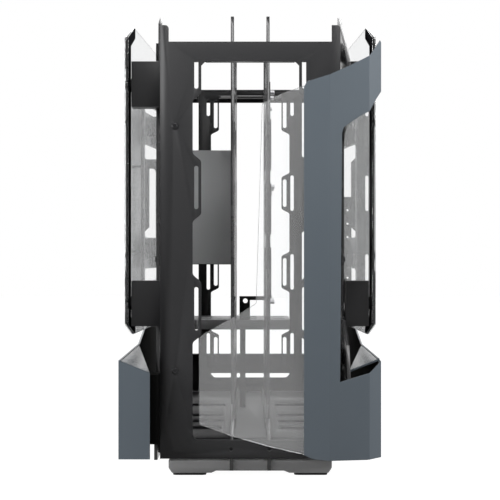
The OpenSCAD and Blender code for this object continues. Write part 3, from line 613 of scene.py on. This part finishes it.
frontGlass = {
    "thickness": 4.0, "middle": -45.5, "corner": 3.0, "cornerSteps": 3, "chamfer": 0.4,
    "outline": [(86, 40), (86, 452), (60, 450.3), (33.9, 440.6), (17.8, 432.3), (13.3, 430.6),
                (6.5, 206.4), (-0.6, 201.5), (-13.4, 193.2), (-52, 171.8), (-57.4, 167), (-57.4, 70.5),
                (-21.1, 57.5), (21.8, 45.4), (60, 36.6)],
}


def addFrontGlass(look):
    outline = roundCorners(look["outline"], look["corner"], look["cornerSteps"])
    mesh = cutPlate("frontGlass", [outline], look["thickness"], look["chamfer"])
    mesh.transform(standFront(look["middle"]))
    markEdges(mesh, edgeLean)
    putPiece("frontGlass", mesh, [finish["front_glass"], frontEdge, frontEdge],
             replaced=["front_glass"])


for side, nodeName in (("Left", "glass_left"), ("Right", "glass_right")):
    addSideGlass(side, sideGlass, nodeName)
    addPrintBand(side, printBand)
addFrontGlass(frontGlass)
print("glass made")


# screws

# a screw head's steps as shares of its height, radius and key, and its three depths in mm
headShape = {"shoulder": 0.45, "crown": 0.85, "crownRadius": 0.9, "topRadius": 0.7, "keyRim": 1.12,
             "rimDepth": 0.15, "keyDepth": 0.85, "seatStep": 0.01}


def screwProfile(look):
    radius, proud, key, shape = look["radius"], look["proud"], look["key"], headShape
    return [(look["stemRadius"], -look["stem"], "round"), (look["stemRadius"], -shape["seatStep"], "round"),
            (radius, 0.0, "round"), (radius, proud * shape["shoulder"], "round"),
            (radius * shape["crownRadius"], proud * shape["crown"], "round"),
            (radius * shape["topRadius"], proud, "round"), (key * shape["keyRim"], proud, "hex"),
            (key, proud - shape["rimDepth"], "hex"), (key, proud - shape["keyDepth"], "hex")]


plateScrews = {"x": 86.8, "heights": [126, 409], "radius": 3.9, "proud": 1.2, "key": 1.7, "stem": 8.0,
               "stemRadius": 2.1, "segments": 36}


def addPlateScrews(look):
    bm = bmesh.new()
    for sign in (-1, 1):
        for z in look["heights"]:
            addTurned(bm, inFrame(sign * look["x"], 0, z), (0, -1, 0), screwProfile(look), look["segments"])
    mesh = finishTurned(bm, "plateScrews")
    putPiece("plateScrews", mesh, [finish["screw_black"]], replaced=["frame_screws"])


capScrews = {"radius": 8.0, "height": 1.2, "key": 2.6, "stem": 14.0, "stemRadius": 2.4, "segments": 72,
             "footShare": 0.96, "knurlStart": 0.15, "knurlEnd": 0.7, "topShare": 0.94, "rimDepth": 0.12,
             "recessFloor": 0.2, "smoothAngle": 25}


def addCapScrews(side, look):
    # knurled flat heads that clamp the side glass, with a hexagon recess
    sign = -1 if side == "Left" else 1
    outwards = (sign * math.cos(sideGlass["toe"]), math.sin(sideGlass["toe"]), 0)
    radius, height, key = look["radius"], look["height"], look["key"]
    profile = [(look["stemRadius"], -look["stem"], "round"),
               (look["stemRadius"], -headShape["seatStep"], "round"),
               (radius * look["footShare"], 0.0, "round"), (radius, look["knurlStart"], "knurl"),
               (radius, height * look["knurlEnd"], "knurl"), (radius * look["topShare"], height, "round"),
               (key * headShape["keyRim"], height, "hex"), (key, height - look["rimDepth"], "hex"),
               (key, look["recessFloor"], "hex")]
    bm = bmesh.new()
    for depth, z in sideGlass["holes"]:
        x, spot = toedSpot(sign, depth, sideGlass["thickness"])
        addTurned(bm, inFrame(x, spot, z), outwards, profile, look["segments"])
    mesh = finishTurned(bm, "capScrews" + side, look["smoothAngle"])
    putPiece("capScrews" + side, mesh, [finish["block_black"]],
             replaced=["glass_caps_" + side.lower()])


ribScrews = {"x": 113.5, "radius": 4.0, "proud": 2.1, "key": 1.6, "stem": 3.9, "stemRadius": 2.1,
             "segments": 36, "spots": [(88, 70), (88, 255), (88, 440), (78, 29.5), (582, 29.5)]}


def addRibScrews(look):
    # button heads on the outer faces of the outer ribs
    bm = bmesh.new()
    for sign in (-1, 1):
        for depth, z in look["spots"]:
            addTurned(bm, inFrame(sign * look["x"], depth, z), (sign, 0, 0), screwProfile(look),
                      look["segments"])
    mesh = finishTurned(bm, "ribScrews")
    putPiece("ribScrews", mesh, [finish["screw_black"]])


addPlateScrews(plateScrews)
for side in ("Left", "Right"):
    addCapScrews(side, capScrews)
addRibScrews(ribScrews)
print("screws made")


# ports, button ring, grommets, filters and motherboard spacers

# the contacts are drawn for an opening as wide as spotsFor and narrow with a smaller one
ports = {
    "x": 85.35, "top": 498.0, "depth": 11.8,
    "openings": [
        {"start": 14.0, "long": 6.6, "half": 7.0, "corner": 0.6, "tongueShift": 0.6, "tongueHalf": 0.9},
        {"start": 31.0, "long": 6.6, "half": 7.0, "corner": 0.6, "tongueShift": 0.6, "tongueHalf": 0.9},
        {"start": 46.0, "long": 3.4, "half": 4.6, "corner": 1.6, "tongueShift": 0.0, "tongueHalf": 0.35},
    ],
    "shell": {"wall": 0.6, "innerCorner": 0.7, "chamfer": 0.12},
    "floor": {"inset": 0.3, "corner": 0.4, "thickness": 1.0, "chamfer": 0.1},
    "tongue": {"inset": 1.3, "shorter": 1.6, "lower": 0.5, "chamfer": 0.1},
    "contacts": {"spots": [-3.9, -1.3, 1.3, 3.9], "half": 0.6, "spotsFor": 7.0, "proud": 0.12, "sunk": 0.1,
                 "long": 6.5, "higher": 0.4, "chamfer": 0.03},
}


def addPorts(look):
    shell, floor, tongue, contacts = look["shell"], look["floor"], look["tongue"], look["contacts"]
    x, top, depth = look["x"], look["top"], look["depth"]
    middle = top - depth / 2
    plates = []
    for port in look["openings"]:
        half, corner = port["half"], port["corner"]
        whole = (x - half, port["start"], x + half, port["start"] + port["long"])
        rim = roundCorners(rectangle(*whole), corner)
        hollow = roundCorners(rectangle(*whole, inset=shell["wall"]), corner * shell["innerCorner"])
        plates.append(([rim, hollow], depth, shell["chamfer"], standFlat(middle), 0))
        bottom = roundCorners(rectangle(*whole, inset=floor["inset"]), floor["corner"])
        plates.append(([bottom], floor["thickness"], floor["chamfer"],
                       standFlat(top - depth + floor["thickness"] / 2), 1))
        core = port["start"] + port["long"] / 2 + port["tongueShift"]
        thick = port["tongueHalf"]
        blade = rectangle(x - half + tongue["inset"], core - thick, x + half - tongue["inset"], core + thick)
        plates.append(([blade], depth - tongue["shorter"], tongue["chamfer"],
                       standFlat(middle - tongue["lower"]), 1))
        share = half / contacts["spotsFor"]
        for spot in contacts["spots"]:
            pad = rectangle(x + (spot - contacts["half"]) * share, core - thick - contacts["proud"],
                            x + (spot + contacts["half"]) * share, core - thick + contacts["sunk"])
            plates.append(([pad], contacts["long"], contacts["chamfer"],
                           standFlat(middle + contacts["higher"]), 2))
    mesh = joinPlates("portShells", plates)
    putPiece("portShells", mesh, [finish["port_steel"], tonguePlastic, contactGold],
             replaced=["port_inserts"])


buttonRing = {"x": 85.35, "depth": 78.0, "seat": 498.2, "outer": 7.7, "inner": 6.45, "height": 0.5,
              "chamfer": 0.15, "steps": 64}


def addButtonRing(look):
    centre = (look["x"], look["depth"])
    outlines = [circleOutline(centre, look["outer"], look["steps"]),
                circleOutline(centre, look["inner"], look["steps"])]
    mesh = cutPlate("buttonRing", outlines, look["height"], look["chamfer"])
    mesh.transform(standFlat(look["seat"] + look["height"] / 2))
    putPiece("buttonRing", mesh, [finish["port_steel"]])


grommets = {
    "front": 218.0, "back": 246.0, "heights": [206, 290, 374], "tall": 60.0, "radius": 8.0,
    "ribFace": 20.2, "trayFace": 26.2, "lip": 3.6, "wall": 2.6, "flange": 1.3, "flangeChamfer": 0.4,
    "sleeveGap": 0.1, "sleeveChamfer": 0.05, "skin": 0.8, "skinLap": 0.2, "skinDepth": 0.6,
    "skinChamfer": 0.02, "slits": 7, "slitEnds": 10.0, "slitSides": 5.0, "slitHalf": 0.35,
    "spineGap": 0.8, "spineHalf": 0.4, "spineEnds": 6.0,
}


def slitSkin(look, z):
    # the skin's own outline, then pairs of slits across and one up the middle
    whole = (look["front"], z, look["back"], z + look["tall"])
    skin = [roundCorners(rectangle(*whole, inset=look["wall"] - look["skinLap"]),
                         look["radius"] - look["wall"])]
    middle = (look["front"] + look["back"]) / 2
    half, ends = look["slitHalf"], look["slitEnds"]
    for step in range(look["slits"]):
        level = z + ends + step * (look["tall"] - 2 * ends) / (look["slits"] - 1)
        skin.append(rectangle(look["front"] + look["slitSides"], level - half,
                              middle - look["spineGap"], level + half))
        skin.append(rectangle(middle + look["spineGap"], level - half,
                              look["back"] - look["slitSides"], level + half))
    skin.append(rectangle(middle - look["spineHalf"], z + look["spineEnds"],
                          middle + look["spineHalf"], z + look["tall"] - look["spineEnds"]))
    return skin


def addGrommets(look):
    # rubber rims in the cable windows, with a slit skin that cables push through
    ribFace, trayFace, flange = look["ribFace"], look["trayFace"], look["flange"]
    deep = trayFace - ribFace
    plates = []
    for z in look["heights"]:
        whole = (look["front"], z, look["back"], z + look["tall"])
        rim = roundCorners(rectangle(*whole, inset=-look["lip"]), look["radius"] + look["lip"])
        bore = roundCorners(rectangle(*whole, inset=look["wall"]), look["radius"] - look["wall"])
        sleeve = roundCorners(rectangle(*whole, inset=look["sleeveGap"]), look["radius"])
        for middle in (trayFace + flange / 2, ribFace - flange / 2):
            plates.append(([rim, bore], flange, look["flangeChamfer"], standAcross(middle), 0))
        plates.append(([sleeve, bore], deep, look["sleeveChamfer"], standAcross(ribFace + deep / 2), 0))
        plates.append((slitSkin(look, z), look["skin"], look["skinChamfer"],
                       standAcross(trayFace - look["skinDepth"]), 0))
    mesh = joinPlates("cableGrommets", plates)
    putPiece("cableGrommets", mesh, [finish["foot_rubber"]])


trayFilters = {"front": 140.0, "back": 464.0, "inset": 6.0, "corner": 5.0, "top": 36.98, "thickness": 1.0,
               "chamfer": 0.2}


def addTrayFilter(side, look):
    # flat filter plate against the underside of a floor tray's vents
    low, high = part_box("floor_tray_" + side.lower())
    x0, x1 = low[0] / mm + look["inset"], high[0] / mm - look["inset"]
    outline = roundCorners(rectangle(x0, look["front"], x1, look["back"]), look["corner"])
    mesh = cutPlate("trayFilter" + side, [outline], look["thickness"], look["chamfer"])
    mesh.transform(standFlat(look["top"] - look["thickness"] / 2))
    putPiece("trayFilter" + side, mesh, [finish["tray_metal"]])


boardSpacers = {
    "seat": 26.2, "rows": [503.65, 346.17, 276.32], "columns": [196.16, 351.1, 478.1],
    "height": 6.5, "radius": 3.2, "topShare": 0.84, "topDrop": 0.5,
    "bore": 1.5, "boreFlare": 0.35, "flareDepth": 0.4, "turns": 8, "threadTop": 0.65, "threadStep": 0.3,
    "threadDepth": 0.16, "tipShare": 0.6, "tipDepth": 3.4, "segments": 30, "smoothAngle": 30,
}


def addBoardSpacers(look):
    # hexagon spacers with a countersunk, threaded bore
    height, radius, bore = look["height"], look["radius"], look["bore"]
    profile = [(radius, 0.0, "hex"), (radius, height - look["topDrop"], "hex"),
               (radius * look["topShare"], height, "round"), (bore + look["boreFlare"], height, "round"),
               (bore, height - look["flareDepth"], "round")]
    for turn in range(look["turns"]):
        groove = look["threadDepth"] if turn % 2 else 0.0
        profile.append((bore + groove, height - look["threadTop"] - turn * look["threadStep"], "round"))
    profile.append((bore * look["tipShare"], height - look["tipDepth"], "round"))
    bm = bmesh.new()
    for depth in look["rows"]:
        for z in look["columns"]:
            addTurned(bm, inFrame(look["seat"], depth, z), (1, 0, 0), profile, look["segments"])
    mesh = finishTurned(bm, "boardSpacers", look["smoothAngle"])
    putPiece("boardSpacers", mesh, [finish["bright_steel"]],
             replaced=["motherboard_spacers"])


addPorts(ports)
addButtonRing(buttonRing)
addGrommets(grommets)
for side in ("Left", "Right"):
    addTrayFilter(side, trayFilters)
addBoardSpacers(boardSpacers)
print("ports, ring, grommets, filters and spacers made")


# floor, world and lamps

studio = {
    "floorSize": 12.0, "floorTone": 0.16, "floorRough": 0.9, "floorGloss": 0.1, "floorGlow": 0.97,
    "worldLevel": 0.07,
    "lamps": [
        {"name": "keyLamp", "place": (0.05, -1.00, 1.10), "aim": (0.0, -0.34, 0.54), "size": (1.1, 0.4),
         "power": 2.0, "spread": 62},
        {"name": "rightLamp", "place": (1.62, -0.78, 0.85), "aim": (0.1, -0.15, 0.28), "size": (0.7, 0.9),
         "power": 35.0, "spread": 180},
        {"name": "leftLamp", "place": (-1.60, -0.95, 0.45), "aim": (-0.1, -0.1, 0.20), "size": (0.8, 1.0),
         "power": 46.0, "spread": 180},
        {"name": "backLamp", "place": (0.0, 1.70, 1.30), "aim": (0.0, 0.1, 0.30), "size": (1.6, 0.8),
         "power": 14.0, "spread": 180},
    ],
}


def seenWhite(tree):
    # 1 where a camera, mirror-like or see-through ray arrives, else 0
    path = addNode(tree, "ShaderNodeLightPath")
    either = addNode(tree, "ShaderNodeMath", operation="MAXIMUM")
    whole = addNode(tree, "ShaderNodeMath", operation="MAXIMUM")
    tree.links.new(path.outputs["Is Camera Ray"], either.inputs[0])
    tree.links.new(path.outputs["Is Glossy Ray"], either.inputs[1])
    tree.links.new(either.outputs[0], whole.inputs[0])
    tree.links.new(path.outputs["Is Transmission Ray"], whole.inputs[1])
    return whole.outputs[0]


def addFloor(look):
    half = look["floorSize"] / 2
    corners = [(-half, -half, 0), (half, -half, 0), (half, half, 0), (-half, half, 0)]
    mesh = bpy.data.meshes.new("studioFloor")
    mesh.from_pydata(corners, [], [(0, 1, 2, 3)])
    floor = bpy.data.objects.new("studioFloor", mesh)
    scene.collection.objects.link(floor)
    material, tree, shader = startMaterial("floorWhite")
    tone = look["floorTone"]
    shader.inputs["Base Color"].default_value = (tone, tone, tone, 1)
    shader.inputs["Roughness"].default_value = look["floorRough"]
    shader.inputs["Specular IOR Level"].default_value = look["floorGloss"]
    glow = addNode(tree, "ShaderNodeMath", operation="MULTIPLY")
    tree.links.new(seenWhite(tree), glow.inputs[0])
    glow.inputs[1].default_value = look["floorGlow"]
    shader.inputs["Emission Color"].default_value = (1, 1, 1, 1)
    tree.links.new(glow.outputs[0], shader.inputs["Emission Strength"])
    mesh.materials.append(material)


def addWorld(look):
    world = bpy.data.worlds.new("studioWorld")
    world.use_nodes = True
    tree = world.node_tree
    sky = tree.nodes["Background"]
    sky.inputs["Color"].default_value = (1, 1, 1, 1)
    level = mapRange(tree, seenWhite(tree), low=0.0, high=1.0, toLow=look["worldLevel"])
    tree.links.new(level, sky.inputs["Strength"])
    scene.world = world


def addLamps(look):
    for lamp in look["lamps"]:
        data = bpy.data.lights.new(lamp["name"], "AREA")
        data.shape = "RECTANGLE"
        data.size, data.size_y = lamp["size"]
        data.energy = lamp["power"]
        data.spread = math.radians(lamp["spread"])
        holder = bpy.data.objects.new(lamp["name"], data)
        holder.location = lamp["place"]
        aim = Vector(lamp["aim"]) - Vector(lamp["place"])
        holder.rotation_euler = aim.to_track_quat("-Z", "Y").to_euler()
        scene.collection.objects.link(holder)


addFloor(studio)
addWorld(studio)
addLamps(studio)
scene.view_settings.view_transform = "Standard"
print("studio lit")
